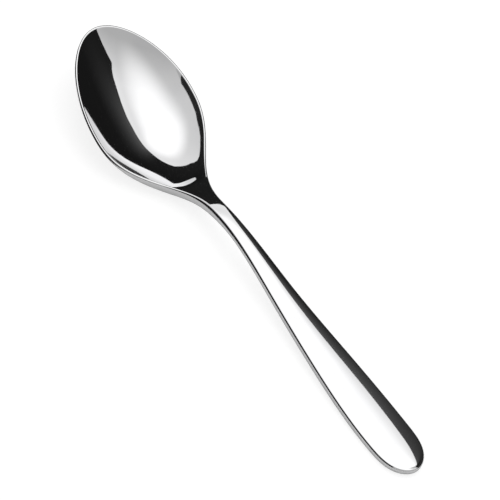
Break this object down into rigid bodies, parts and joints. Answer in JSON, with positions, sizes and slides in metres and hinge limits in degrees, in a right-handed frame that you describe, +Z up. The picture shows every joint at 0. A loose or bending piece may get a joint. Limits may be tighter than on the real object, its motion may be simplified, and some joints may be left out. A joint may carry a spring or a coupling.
{
  "type": "soup spoon",
  "caption": "Polished steel soup spoon: an egg-shaped bowl, a narrow arched neck and a handle that widens to a rounded end.",
  "frame": {"origin": "on the table plane, under the middle of the spoon's length and width", "axes": "+X from the tip of the bowl to the end of the handle, +Y across the spoon, +Z up out of the hollow"},
  "size_m": [0.2, 0.0458, 0.022],
  "materials": {
    "bowl_steel": "stainless steel, mirror polished inside and out, with faint wear in the hollow",
    "neck_steel": "stainless steel, mirror polished all round",
    "handle_steel": "stainless steel, mirror polished, with fine marks of use along its length"
  },
  "bodies": {
    "root": {"bowl": "bowl_steel", "neck": "neck_steel", "handle": "handle_steel"}
  },
  "joints": []
}
